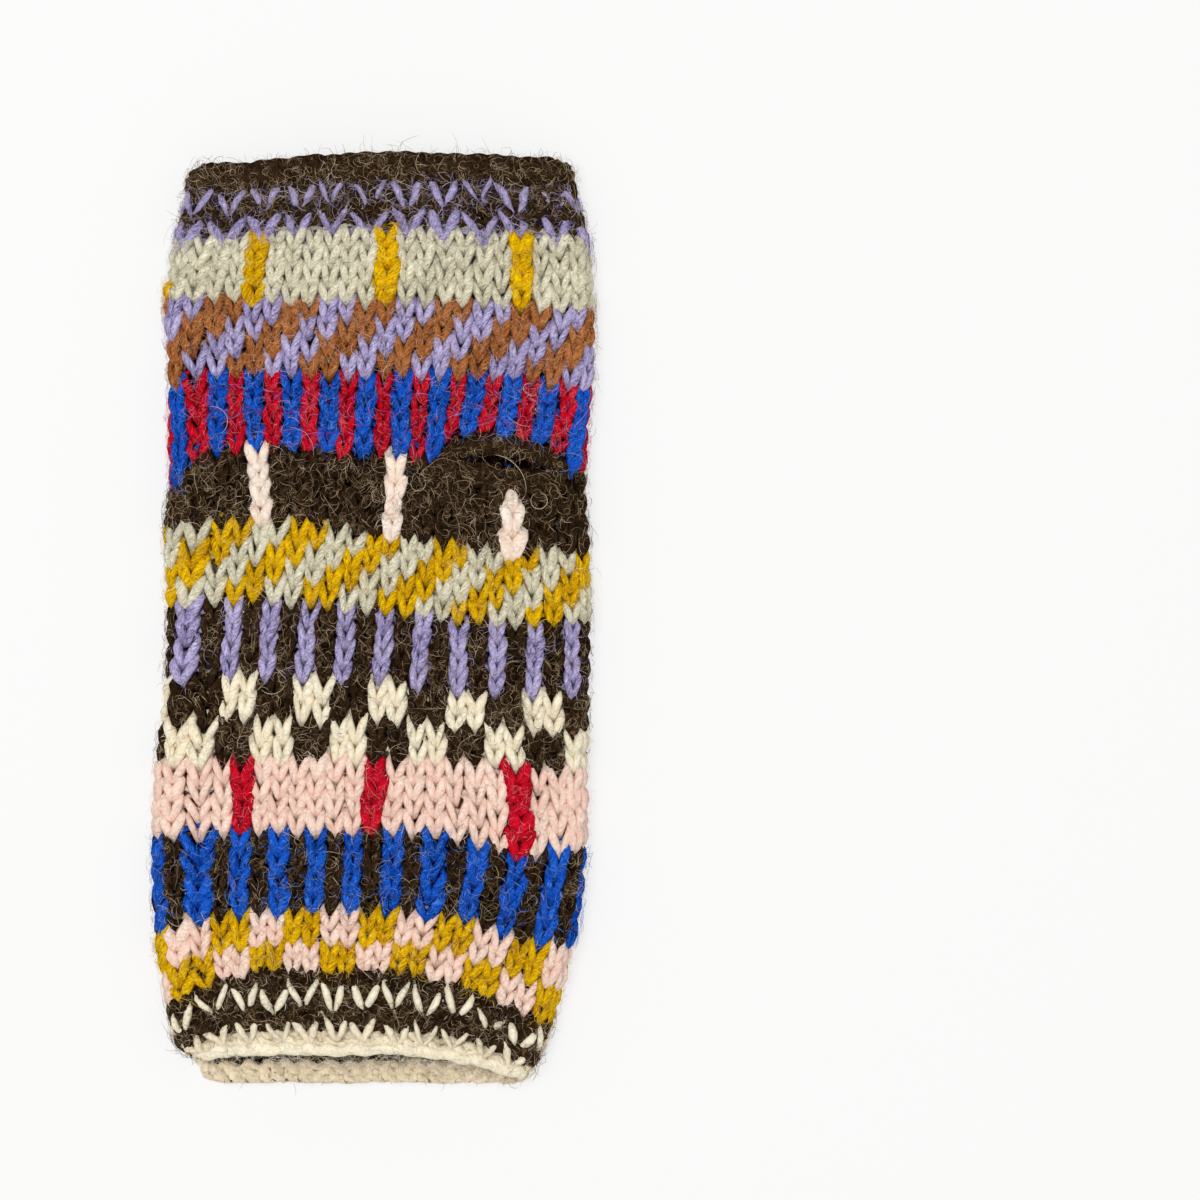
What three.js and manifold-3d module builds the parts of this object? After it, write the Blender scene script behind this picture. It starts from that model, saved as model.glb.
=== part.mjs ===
// A hand-knitted wool wrist warmer lying flat: a short tube with a thumb slit in its upper wall.
// Millimetres. +Z is up, +Y points to the fingers, and the underside rests on z = 0.
import * as THREE from 'three';
import { mergeVertices } from 'three/addons/utils/BufferGeometryUtils.js';
import Module from 'manifold-3d';

const wallThickness = 2.8; // stranded wool, the yarn and its floats together
const rimGap = 0.3; // clear space round the thumb rim
const rimStep = 0.1; // how far the rim's underside stays up from the wall's inner face
const courseGap = 0.5; // clear space along the tube, where the courses that two pieces meet on slope
const runSteps = 14; // facets across the front, and as many across the back
const foldSteps = 5; // facets round each side fold
const slitSideSteps = 6; // facets along each side of the slit
const slitEndSteps = 7; // facets round each end of the slit
const crownPower = 4; // how squarely the front rises from its folds
const rightEase = 1.6; // how a row bends down towards the right fold
const backEase = 7; // the back stays straight nearly to its folds
const halvings = 30; // steps that find the course through a point of the front
const tubeSections = 16; // rings of points along the patterned tube
const darkBrown = 0x3a2c22;
const roughness = 0.95;

// The thumb slit, in the plane of the front.
const slit = {
  x: 28.4,
  y: 34.0,
  tilt: -0.03, // radians
  halfLength: 11.2,
  halfWidth: 2.5,
  rimWidth: 2.7,
  rimRise: 0.9, // how far the rim stands above the front
  archRise: 0.9, // how much higher the finger side of the rim reaches
  seatBottom: 4.3, // between the two walls, where the cut for the rim starts
  seatTop: 18, // above the front
};

// The rim's section. out, rise and arch are shares of the rim's width, rise and arch.
// under: whether the point is on the underside.
const rimSection = [
  { out: 0, rise: 0, arch: 0, under: true },
  { out: 0, rise: 0.22, arch: 0, under: false },
  { out: 0.25, rise: 1, arch: 0.25, under: false },
  { out: 0.7, rise: 1, arch: 0.7, under: false },
  { out: 1, rise: 0.33, arch: 1, under: false },
  { out: 1, rise: 0, arch: 1, under: true },
];

// Courses from the finger edge to the wrist hem. Each line is one row of stitches round the tube.
// front, left, right, back: how far along the tube the row runs at mid front, at the folds and at mid back.
// foldLeft, foldRight: how far out it reaches.
// foldHeight, crown: its height at the folds, and what the middle of the front adds.
// leftEase: how late the row bends towards the left fold.
const courseColumns = [
  'front', 'left', 'right', 'back', 'foldLeft', 'foldRight', 'foldHeight', 'crown', 'leftEase',
];
const courses = [
  [102.5, 98.3, 100.1, 101.9, -39.4, 42.5, 8.2, 3.4, 1.1],
  [94.8, 92.2, 93.1, 94.4, -41.6, 45.1, 8.4, 3.5, 1.1],
  [84.3, 82.5, 82.1, 83.9, -43.6, 47.5, 8.6, 3.7, 1.3],
  [68.3, 69.6, 66.7, 68.3, -45.8, 48.8, 9.0, 3.8, 1.6],
  [52.2, 53.1, 50.9, 52.2, -45.1, 48.4, 9.0, 3.9, 1.6],
  [34.2, 33.8, 30.7, 33.8, -44.9, 46.9, 8.6, 4.2, 1.6],
  [18.4, 18.9, 15.6, 18.0, -45.8, 47.7, 9.0, 4.0, 1.6],
  [2.2, 1.8, 0.4, 1.8, -45.3, 48.0, 9.0, 3.7, 1.6],
  [-14.5, -14.9, -15.8, -14.9, -45.8, 47.7, 8.8, 3.5, 1.6],
  [-32.0, -33.4, -34.2, -33.4, -48.0, 47.3, 9.2, 3.5, 1.8],
  [-47.4, -49.6, -51.8, -49.6, -48.8, 47.1, 9.4, 3.6, 2.0],
  [-64.1, -67.8, -72.2, -67.8, -48.0, 44.2, 9.2, 3.9, 2.4],
  [-78.1, -86.5, -90.0, -85.6, -45.5, 39.6, 9.0, 4.2, 3.0],
  [-89.1, -93.1, -96.6, -95.3, -43.6, 37.2, 8.6, 4.2, 3.0],
  [-95.9, -97.2, -101.2, -102.5, -39.8, 34.6, 8.2, 4.0, 3.0],
].map((line) => Object.fromEntries(courseColumns.map((name, i) => [name, line[i]])));

// The knitted pieces between two courses. swell is how far a ridge or rolled edge stands out at each section.
const pieces = [
  { name: 'finger_edge', from: 0, to: 1, swell: [0.0, 0.7, 0.8, 0.4, -0.2], color: darkBrown },
  { name: 'finger_welt', from: 1, to: 2, swell: [-0.2, 0.0, 0.4, 0.1, 0.0], color: 0x8d81ae },
  { name: 'hand_tube', from: 2, to: 12, swell: Array(tubeSections).fill(0), color: 0xb9a88c },
  { name: 'wrist_welt', from: 12, to: 13, swell: [0.0, -0.1, 0.2, 0.5, 0.0], color: 0x4a3a2f },
  { name: 'wrist_hem', from: 13, to: 14, swell: [0.0, 0.5, 0.3, 0.7, 0.1], color: 0xe6d8ba },
];

// The course at a place between two lines of the table, on a smooth curve through them.
function courseAt(place) {
  const last = courses.length - 1;
  const before = Math.min(Math.floor(place), last - 1);
  const part = place - before;
  const [a, b, c, d] = [-1, 0, 1, 2].map((step) => courses[Math.min(Math.max(before + step, 0), last)]);
  const course = {};
  for (const key of Object.keys(b)) {
    const slopeIn = (c[key] - a[key]) / 2;
    const slopeOut = (d[key] - b[key]) / 2;
    course[key] = b[key] * (1 + 2 * part) * (1 - part) ** 2 + c[key] * part ** 2 * (3 - 2 * part)
      + slopeIn * part * (1 - part) ** 2 + slopeOut * part ** 2 * (part - 1);
  }
  return course;
}

// How far along the tube a course lies. travel runs from 0 at mid front or mid back to 1 at a fold.
function alongTube(course, travel, isRight, isFront) {
  const fold = isRight ? course.right : course.left;
  const middle = isFront ? course.front : course.back;
  const sideEase = isRight ? rightEase : course.leftEase;
  const ease = isFront ? sideEase : backEase;
  const bend = (1 - Math.cos(Math.PI * Math.min(travel, 1) ** ease)) / 2;
  return middle + (fold - middle) * bend;
}

// The height that the crown adds to the front of a course, this far across from its middle.
function crownAt(course, across) {
  const halfRun = (course.foldRight - course.foldLeft - course.foldHeight) / 2;
  return course.crown * (1 - Math.min(Math.abs(across) / halfRun, 1) ** crownPower) ** 2;
}

// The closed outline of a course: the crowned front, the right fold, the flat back and the left fold.
// inset moves it inwards through the wall, and a negative one outwards.
function outline(course, inset, shift) {
  const middle = (course.foldLeft + course.foldRight) / 2;
  const foldRadius = course.foldHeight / 2;
  const halfRun = (course.foldRight - course.foldLeft) / 2 - foldRadius;
  const reach = halfRun + foldRadius * Math.PI / 2;
  const radius = foldRadius - inset;
  const floor = Math.max(inset, 0);
  const points = [];
  const add = (across, height, travel, isFront) => {
    const y = alongTube(course, travel, across > 0, isFront) + shift;
    points.push(new THREE.Vector3(middle + across, y, Math.max(height, floor)));
  };
  for (const half of [1, -1]) {
    for (let i = 0; i < runSteps; i += 1) {
      const across = half * halfRun * (2 * i / runSteps - 1);
      const height = half > 0 ? course.foldHeight - inset + crownAt(course, across) : inset;
      add(across, height, Math.abs(across) / reach, half > 0);
    }
    for (let i = 0; i < foldSteps; i += 1) {
      const turn = Math.PI * i / foldSteps;
      const travel = (halfRun + foldRadius * Math.min(turn, Math.PI - turn)) / reach;
      const height = foldRadius + half * radius * Math.cos(turn);
      add(half * (halfRun + radius * Math.sin(turn)), height, travel, height > foldRadius);
    }
  }
  return points;
}

// A closed mesh from rings of points, the last ring joined to the first. Its first and last faces are split
// so that the ends of two pieces on one course match.
function closedLoft(rings) {
  const around = rings[0].length;
  const positions = rings.flat().flatMap((point) => [point.x, point.y, point.z]);
  const indices = [];
  for (let ring = 0; ring < rings.length; ring += 1) {
    const next = (ring + 1) % rings.length;
    for (let i = 0; i < around; i += 1) {
      const j = (i + 1) % around;
      const [a, b, c, d] = [ring * around + i, ring * around + j, next * around + j, next * around + i];
      if (next > 0) {
        indices.push(a, c, b, a, d, c);
      } else {
        indices.push(a, d, b, b, d, c);
      }
    }
  }
  const geometry = new THREE.BufferGeometry();
  geometry.setAttribute('position', new THREE.Float32BufferAttribute(positions, 3));
  geometry.setIndex(indices);
  return geometry;
}

// One knitted ring: the outer wall from its finger side to its wrist side, and the inner wall back again.
function knittedRing(piece) {
  const last = piece.swell.length - 1;
  const outer = [];
  const inner = [];
  piece.swell.forEach((swell, i) => {
    const course = courseAt(piece.from + (piece.to - piece.from) * i / last);
    const end = (i === 0 ? -1 : 0) + (i === last ? 1 : 0);
    const shift = end * courseGap / 2;
    outer.push(outline(course, -swell, shift));
    inner.push(outline(course, wallThickness, shift));
  });
  return closedLoft([...outer, ...inner.reverse()]);
}

// The height of the front at a point of the plane, found on the course that passes there.
function frontAt(x, y) {
  let low = 0;
  let high = courses.length - 1;
  let course = courseAt(low);
  let across = 0;
  for (let step = 0; step < halvings; step += 1) {
    const place = (low + high) / 2;
    course = courseAt(place);
    across = x - (course.foldLeft + course.foldRight) / 2;
    const travel = Math.abs(across) / ((course.foldRight - course.foldLeft) / 2);
    if (alongTube(course, travel, across > 0, true) > y) {
      low = place;
    } else {
      high = place;
    }
  }
  return course.foldHeight + crownAt(course, across);
}

// The slit's outline grown by a margin: two straight sides with round ends, arched on its finger side.
function slitOutline(margin, arch) {
  const radius = slit.halfWidth + margin;
  const straight = slit.halfLength - slit.halfWidth;
  const points = [];
  for (const side of [1, -1]) {
    for (let i = 0; i < slitSideSteps; i += 1) {
      points.push(new THREE.Vector2(side * straight * (1 - 2 * i / slitSideSteps), side * radius));
    }
    for (let i = 0; i < slitEndSteps; i += 1) {
      const turn = Math.PI * i / slitEndSteps;
      const along = straight + radius * Math.sin(turn);
      points.push(new THREE.Vector2(-side * along, side * radius * Math.cos(turn)));
    }
  }
  for (const point of points) {
    const rise = Math.max(0, 1 - (point.x / slit.halfLength) ** 2);
    point.y += point.y > 0 ? arch * rise : 0;
    point.rotateAround(new THREE.Vector2(), slit.tilt);
    point.add(new THREE.Vector2(slit.x, slit.y));
  }
  return points;
}

// The raised edge round the slit, as deep as the wall it sits in.
function thumbRim() {
  const rings = rimSection.map(({ out, rise, arch, under }) => {
    const up = under ? rimStep - wallThickness : slit.rimRise * rise;
    const points = slitOutline(slit.rimWidth * out, slit.archRise * arch);
    return points.map(({ x, y }) => new THREE.Vector3(x, y, frontAt(x, y) + up));
  });
  return closedLoft(rings);
}

// The column that cuts the rim's seat through the upper wall of the tube.
function rimSeat() {
  const shape = new THREE.Shape(slitOutline(slit.rimWidth + rimGap, slit.archRise));
  const depth = slit.seatTop - slit.seatBottom;
  const geometry = new THREE.ExtrudeGeometry(shape, { depth, bevelEnabled: false, steps: 1 });
  geometry.translate(0, 0, slit.seatBottom);
  return geometry;
}

const wasm = await Module();
wasm.setup();

function toSolid(geometry) {
  geometry.deleteAttribute('normal');
  geometry.deleteAttribute('uv');
  const merged = mergeVertices(geometry);
  return new wasm.Manifold(new wasm.Mesh({
    numProp: 3,
    vertProperties: merged.getAttribute('position').array,
    triVerts: Uint32Array.from(merged.getIndex().array),
  }));
}

function toGeometry(solid) {
  const mesh = solid.getMesh();
  const geometry = new THREE.BufferGeometry();
  geometry.setAttribute('position', new THREE.BufferAttribute(mesh.vertProperties, 3));
  geometry.setIndex(new THREE.BufferAttribute(mesh.triVerts, 1));
  return geometry;
}

function woolMesh(name, geometry, color) {
  const wool = new THREE.MeshStandardMaterial({ color, roughness, metalness: 0 });
  const mesh = new THREE.Mesh(geometry, wool);
  mesh.name = name;
  return mesh;
}

const group = new THREE.Group();
for (const piece of pieces) {
  let geometry = knittedRing(piece);
  if (piece.name === 'hand_tube') {
    geometry = toGeometry(toSolid(geometry).subtract(toSolid(rimSeat())));
  }
  group.add(woolMesh(piece.name, geometry, piece.color));
}
group.add(woolMesh('thumb_rim', thumbRim(), darkBrown));

export default group;
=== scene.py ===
import math

import bpy
import numpy as np
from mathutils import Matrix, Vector


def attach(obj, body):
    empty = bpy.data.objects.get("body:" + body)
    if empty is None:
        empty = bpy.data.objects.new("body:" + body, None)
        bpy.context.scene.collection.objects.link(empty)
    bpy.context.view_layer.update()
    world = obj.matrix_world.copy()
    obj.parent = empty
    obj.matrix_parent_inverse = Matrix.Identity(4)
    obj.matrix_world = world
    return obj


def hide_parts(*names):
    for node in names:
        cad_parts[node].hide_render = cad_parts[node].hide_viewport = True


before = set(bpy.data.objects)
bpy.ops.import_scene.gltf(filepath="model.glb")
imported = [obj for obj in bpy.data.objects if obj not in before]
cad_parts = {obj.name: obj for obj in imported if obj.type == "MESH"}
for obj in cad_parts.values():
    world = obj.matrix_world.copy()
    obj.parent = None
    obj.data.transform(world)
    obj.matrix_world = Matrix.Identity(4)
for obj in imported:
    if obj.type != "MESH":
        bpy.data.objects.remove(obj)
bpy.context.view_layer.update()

mm = 0.001
rng = np.random.default_rng(48)
print("frame loaded")

# The flat tube, in mm. Each line is one course round it, from the finger edge to the wrist hem: how far up
# it runs at mid front, the folds and mid back, where and how high it folds, and how late it bends left.
tube = {
    "columns": "front left right back foldLeft foldRight foldHeight crown leftEase".split(),
    "courses": [
        (101.3, 98.1, 99.8, 99.2, -39.4, 42.5, 8.2, 3.4, 1.1),
        (94.8, 92.2, 93.1, 94.4, -41.6, 45.1, 8.4, 3.5, 1.1),
        (84.3, 82.5, 82.1, 83.9, -43.6, 47.5, 8.6, 3.7, 1.3),
        (68.3, 69.6, 66.7, 68.3, -45.8, 48.8, 9.0, 3.8, 1.6),
        (52.2, 53.1, 50.9, 52.2, -45.1, 48.4, 9.0, 3.9, 1.6),
        (34.2, 33.8, 30.7, 33.8, -44.9, 46.9, 8.6, 4.2, 1.6),
        (18.4, 18.9, 15.6, 18.0, -45.8, 47.7, 9.0, 4.0, 1.6),
        (2.2, 1.8, 0.4, 1.8, -45.3, 48.0, 9.0, 3.7, 1.6),
        (-14.5, -14.9, -15.8, -14.9, -45.8, 47.7, 8.8, 3.5, 1.6),
        (-32.0, -33.4, -34.2, -33.4, -48.0, 47.3, 9.2, 3.5, 1.8),
        (-47.4, -49.6, -51.8, -49.6, -48.8, 47.1, 9.4, 3.6, 2.0),
        (-64.1, -67.8, -72.2, -67.8, -48.0, 44.2, 9.2, 3.9, 2.4),
        (-78.1, -86.5, -90.0, -85.6, -45.5, 39.6, 9.0, 4.2, 3.0),
        (-89.1, -93.1, -96.6, -95.3, -43.6, 37.2, 8.6, 4.2, 3.0),
        (-95.9, -97.2, -101.2, -102.5, -39.8, 34.6, 8.2, 4.0, 3.0),
    ],
    "rightEase": 1.6,
    "backEase": 7.0,
    "crownPower": 4,
    "strandInset": 1.3,  # from the wall's outer face in to the middle of its yarn
}
courseTable = np.array(tube["courses"])
lastPlace = len(courseTable) - 1


# The course at a place between two lines of the table, on a smooth curve through them.
def courseAt(place):
    place = np.clip(place, 0, lastPlace)
    before = np.minimum(np.floor(place).astype(int), lastPlace - 1)
    part = (place - before)[..., None]
    a, b, c, d = (courseTable[np.clip(before + step, 0, lastPlace)] for step in (-1, 0, 1, 2))
    value = b * (1 + 2 * part) * (1 - part) ** 2 + c * part ** 2 * (3 - 2 * part)
    value = value + (c - a) / 2 * part * (1 - part) ** 2 + (d - b) / 2 * part ** 2 * (part - 1)
    return dict(zip(tube["columns"], np.moveaxis(value, -1, 0)))


# The radius of a course's folds, half the flat run between them, and a quarter of its girth.
def spanOf(course):
    foldRadius = course["foldHeight"] / 2
    halfRun = (course["foldRight"] - course["foldLeft"]) / 2 - foldRadius
    return foldRadius, halfRun, halfRun + foldRadius * math.pi / 2


def girthAt(place):
    return 4 * spanOf(courseAt(place))[2]


# A point of the wall's outer face. arc is measured round it from mid front, positive to the thumb side.
def wallPoint(place, arc):
    course = courseAt(place)
    foldRadius, halfRun, reach = spanOf(course)
    arc = np.mod(arc + 2 * reach, 4 * reach) - 2 * reach
    run = np.abs(arc)
    foldEnd = halfRun + math.pi * foldRadius
    turn = np.clip((run - halfRun) / foldRadius, 0, math.pi)
    onFold = halfRun + foldRadius * np.sin(turn)
    across = np.where(run < halfRun, run, np.where(run < foldEnd, onFold, foldEnd + halfRun - run))
    crown = course["crown"] * (1 - np.minimum(run / halfRun, 1) ** tube["crownPower"]) ** 2
    height = foldRadius * (1 + np.cos(turn)) + crown
    travel = np.minimum(run, 2 * reach - run) / reach
    frontEase = np.where(arc > 0, tube["rightEase"], course["leftEase"])
    ease = np.where(run < reach, frontEase, tube["backEase"])
    bend = (1 - np.cos(math.pi * np.clip(travel, 0, 1) ** ease)) / 2
    middle = np.where(run < reach, course["front"], course["back"])
    fold = np.where(arc > 0, course["right"], course["left"])
    x = (course["foldLeft"] + course["foldRight"]) / 2 + np.sign(arc) * across
    return np.stack([x, middle + (fold - middle) * bend, height], axis=-1)


def unit(vectors):
    return vectors / np.maximum(np.linalg.norm(vectors, axis=-1, keepdims=True), 1e-9)


# Near the folds, in mm: how far the courses rise along the tube, and how far they sink into it.
corners = {
    "places": [0, 0.6, 12.2, 12.9, 13.5, 14.0],
    "rise": [0.9, 0, 0, -2.8, -1.8, 0],
    "sink": [0, 0, 0, 0, 1.0, 0.6],
    "spread": 8.0,
}


def cornerAt(place, arc, what):
    away = (np.abs(arc) - girthAt(place) / 4) / corners["spread"]
    return np.interp(place, corners["places"], corners[what]) * np.exp(-away ** 2)


probe = {"round": 0.4, "along": 0.06}  # mm and places to each side, for the wall's directions


# Point, outward normal and finger direction of the wall, with the point moved along the tube by lift.
def wallFrame(place, arc, lift=0.0):
    place = np.asarray(place, float)
    arc = np.asarray(arc, float)
    point = wallPoint(place, arc)
    roundTube = unit(wallPoint(place, arc + probe["round"]) - wallPoint(place, arc - probe["round"]))
    share = arc / girthAt(place)
    near = np.clip(place - probe["along"], 0, lastPlace)
    far = np.clip(place + probe["along"], 0, lastPlace)
    fingers = unit(wallPoint(near, share * girthAt(near)) - wallPoint(far, share * girthAt(far)))
    normal = unit(np.cross(roundTube, fingers))
    lift = lift + cornerAt(place, arc, "rise")
    sink = cornerAt(place, arc, "sink")
    return point + fingers * lift[..., None] - normal * sink[..., None], normal, fingers


# Stitch columns round the tube, whether the pulls and pushes move them, and how they lie: by place, the
# column at mid front and how they crowd on its left and right.
columnSets = {
    "hand": {
        "round": 48,
        "pulled": True,
        "lay": [(0, 9.6, 0, -0.4), (2, 9.66, 0, -0.4), (3, 9.66, 0, -0.3), (4, 9.7, 0, 0.15),
                (4.5, 9.7, 0, 0.36), (5, 9.7, 0, 0.6), (6, 9.7, 0, 0.6)],
    },
    "wrist": {
        "round": 47,
        "pulled": True,
        "lay": [(5, 8.8, -0.9, 1.0), (6, 9.05, 0, 1.0), (7, 9.6, 0, 0.2), (8, 9.85, 0, -0.1),
                (9, 9.88, 0, -0.4), (10, 9.8, 0, -0.3), (11, 9.73, 0, 0), (14, 9.73, 0, 0)],
    },
    "fingerWelt": {"round": 24, "pulled": False, "lay": [(0, 0.33, 0, -0.2), (2, 0.33, 0, -0.2)]},
    "wristWelt": {"round": 26, "pulled": False, "lay": [(12, -0.28, 0, 0), (14, -0.28, 0, 0)]},
}


def columnArc(columnSet, place, column):
    lay = np.array(columnSet["lay"])
    middle, left, right = (np.interp(place, lay[:, 0], lay[:, i]) for i in (1, 2, 3))
    half = columnSet["round"] / 2
    away = np.mod(column - middle + half, 2 * half) - half
    crowd = np.where(away < 0, left, right)
    return girthAt(place) / columnSet["round"] * (away - crowd * np.sin(math.pi * away / half))


# Small drifts of the stitches: two waves round the tube, by turn and place, and their reach across in
# columns, and along and in a ridge in mm.
drift = {"slow": (7, 3.1), "quick": (17, -9.3), "acrossPhase": 1.0, "alongPhase": 4.0,
         "across": 0.07, "along": 0.35, "ridge": 0.25}


def driftAt(turn, place, phase):
    slow = np.sin(drift["slow"][0] * turn + drift["slow"][1] * place + phase)
    quick = np.sin(drift["quick"][0] * turn + drift["quick"][1] * place + 2 * phase)
    return 0.5 * (slow + quick)


def knitPoint(columnSet, place, column, depth):
    turn = 2 * math.pi * column / columnSet["round"]
    push, pull = pullAt(columnSet, place, column)
    arc = columnArc(columnSet, place, column + drift["across"] * driftAt(turn, place, drift["acrossPhase"]))
    lift = pull + drift["along"] * driftAt(turn, place, drift["alongPhase"])
    point, normal, fingers = wallFrame(place, arc + push, lift)
    return point + normal * np.asarray(depth - tube["strandInset"])[..., None], normal, fingers


# A colour given as screen values from 0 to 255, as the shaders want it.
def tone(red, green, blue):
    linear = (((c / 255 + 0.055) / 1.055) ** 2.4 if c > 10 else c / 255 / 12.92 for c in (red, green, blue))
    return (*linear, 1)


# dark and light are the tones along a strand, stray that of the fibres across it, fleck the painted shade
# in the dips between them, and fuzzDark and fuzzLight those of its loose fibres, which hairs counts by
# kind.
yarnColumns = "slot dark light stray strays fleck flecks fuzzDark fuzzLight hairs"
yarnRows = {
    "darkBrown": ("dark_brown_wool", (8, 4, 1), (58, 40, 24), (160, 130, 92), 0.4, (4, 2, 0), 0.5,
                  (58, 42, 25), (218, 191, 152), {"curls": 4200, "haze": 2600}),
    "lilac": ("lilac_wool", (92, 80, 130), (211, 200, 241), (240, 232, 255), 0.35, (60, 48, 92), 0.5,
              (122, 110, 168), (232, 224, 252), {"haze": 2700, "fuzz": 500}),
    "sage": ("sage_wool", (176, 168, 138), (248, 242, 216), (255, 252, 236), 0.3, (116, 106, 78), 0.5,
             (222, 214, 188), (255, 252, 236), {"fuzz": 2400, "wisps": 100}),
    "gold": ("gold_wool", (154, 100, 0), (255, 206, 6), (255, 226, 90), 0.35, (104, 62, 0), 0.6,
             (222, 166, 0), (255, 226, 96), {"fuzz": 2200, "wisps": 220}),
    "rust": ("rust_wool", (92, 44, 14), (200, 124, 68), (232, 172, 120), 0.4, (56, 26, 8), 0.6,
             (176, 108, 62), (246, 200, 154), {"fuzz": 1600, "wisps": 260}),
    "red": ("red_wool", (100, 0, 8), (236, 16, 46), (246, 110, 126), 0.32, (48, 0, 4), 0.6,
            (206, 20, 46), (255, 150, 160), {"fuzz": 1500, "wisps": 260}),
    "blue": ("blue_wool", (0, 16, 80), (28, 102, 228), (104, 160, 246), 0.4, (0, 6, 46), 0.7,
             (26, 92, 206), (132, 184, 255), {"fuzz": 2500, "wisps": 300}),
    "palePink": ("pale_pink_wool", (252, 218, 196), (255, 247, 234), (255, 250, 240), 0.1,
                 (216, 168, 142), 0.3, (250, 222, 204), (255, 250, 240), {"fuzz": 300}),
    "pink": ("pink_wool", (246, 196, 178), (255, 234, 216), (255, 244, 232), 0.2, (200, 138, 118), 0.4,
             (250, 214, 198), (255, 246, 236), {"fuzz": 1300, "wisps": 60}),
    "cream": ("cream_wool", (244, 224, 190), (255, 249, 224), (255, 250, 234), 0.2, (176, 136, 96), 0.4,
              (244, 226, 192), (255, 250, 232), {"fuzz": 1600, "wisps": 60}),
}
yarns = {name: dict(zip(yarnColumns.split(), row)) for name, row in yarnRows.items()}
strands = {name: [] for name in yarns}  # yarn name: tube meshes still to be joined
spots = {name: [] for name in yarns}  # yarn name: points, normals and weights that loose fibres grow from
squashed = 0.88  # how thick a pressed strand is, as a share of its width
floorGap = 0.02
uvStarts = 60  # mm that the strands' own patterns start apart


# The rows of a table, each as a dictionary by the names of the columns.
def named(columns, rows):
    return [dict(zip(columns.split(), row)) for row in rows]


# The faces between each ring of points and the next.
def joinRings(here, ahead):
    return np.stack([here, np.roll(here, -1, axis=2), np.roll(ahead, -1, axis=2), ahead], axis=-1)


# Tubes of yarn. middles and normals are (tubes, points, 3), radii (tubes, points), and uv mm and turns.
def sweep(middles, normals, radii, sides, closed, thickness=squashed):
    if closed:
        along = np.roll(middles, -1, axis=1) - np.roll(middles, 1, axis=1)
    else:
        along = np.gradient(middles, axis=1)
    along = unit(along)
    side = unit(np.cross(along, normals))
    up = np.cross(side, along)
    angle = 2 * math.pi * np.arange(sides) / sides - math.pi / 2
    across, upward = np.cos(angle)[:, None], np.sin(angle)[:, None] * thickness
    ring = side[:, :, None] * across + up[:, :, None] * upward
    points = middles[:, :, None] + ring * radii[:, :, None, None]
    points[..., 2] = np.maximum(points[..., 2], floorGap)
    tubes, steps = middles.shape[:2]
    spans = steps if closed else steps - 1
    index = np.arange(tubes * steps * sides).reshape(tubes, steps, sides)
    here, ahead = index[:, :spans], np.roll(index, -1, axis=1)[:, :spans]
    quads = joinRings(here, ahead)
    hop = np.linalg.norm(np.roll(middles, -1, axis=1) - middles, axis=-1)
    reach = np.concatenate([np.zeros((tubes, 1)), np.cumsum(hop, axis=1)], axis=1)
    reach = reach + rng.uniform(0, uvStarts, (tubes, 1))
    mapped = (reach[:, :spans, None], reach[:, 1:spans + 1, None], np.arange(sides) / sides)
    u0, u1, v0 = (np.broadcast_to(values, here.shape) for values in mapped)
    v1 = v0 + 1 / sides
    quadUv = [np.stack(pair, axis=-1) for pair in ((u0, v0), (u0, v1), (u1, v1), (u1, v0))]
    ends = [index[:, 0, ::-1], index[:, -1]]
    return {
        "points": points.reshape(-1, 3),
        "quads": quads.reshape(-1, 4),
        "uv": np.stack(quadUv, axis=-2).reshape(-1, 2),
        "shade": np.repeat(rng.uniform(0, 1, tubes), steps * sides),
        "caps": np.zeros((0, sides), int) if closed else np.concatenate(ends),
    }


def addObject(name, data):
    thing = bpy.data.objects.new(name, data)
    bpy.context.scene.collection.objects.link(thing)
    return thing


# One piece from many parts. nodes are the solids that it stands for.
def meshPiece(name, parts, material, nodes=()):
    starts = np.cumsum([0] + [len(part["points"]) for part in parts])
    points = np.concatenate([part["points"] for part in parts]) * mm
    faces = [part[key] + start for key in ("quads", "caps") for part, start in zip(parts, starts)]
    faceCorners = np.concatenate([f.ravel() for f in faces])
    sizes = np.concatenate([np.full(len(f), f.shape[1]) for f in faces])
    uv = np.concatenate([part["uv"] for part in parts])
    uv = np.concatenate([uv, np.zeros((len(faceCorners) - len(uv), 2))])
    mesh = bpy.data.meshes.new(name)
    mesh.vertices.add(len(points))
    mesh.vertices.foreach_set("co", points.astype(np.float32).ravel())
    mesh.loops.add(len(faceCorners))
    mesh.loops.foreach_set("vertex_index", faceCorners.astype(np.int32))
    mesh.polygons.add(len(sizes))
    mesh.polygons.foreach_set("loop_start", (np.cumsum(sizes) - sizes).astype(np.int32))
    mesh.update(calc_edges=True)
    mesh.polygons.foreach_set("use_smooth", np.ones(len(sizes), bool))
    layer = mesh.uv_layers.new(name="strand")
    layer.data.foreach_set("uv", uv.astype(np.float32).ravel())
    shade = mesh.attributes.new("shade", "FLOAT", "POINT")
    shades = np.concatenate([part["shade"] for part in parts])
    shade.data.foreach_set("value", shades.astype(np.float32))
    mesh.validate()
    mesh.materials.append(material)
    piece = addObject(name, mesh)
    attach(piece, "root")
    if nodes:
        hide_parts(*nodes)


# legs are the points that hairs grow from, hairs how thickly, and face -1 turns them to the inside.
def addStrands(yarn, middles, normals, radii, sides, closed=True, thickness=squashed, legs=slice(None),
               face=1, hairs=1):
    strands[yarn].append(sweep(middles, normals, radii, sides, closed, thickness))
    crest = middles + face * normals * (radii * thickness)[..., None]
    points = crest[:, legs].reshape(-1, 3)
    spots[yarn].append((points, face * normals[:, legs].reshape(-1, 3), np.full(len(points), float(hairs))))


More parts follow.
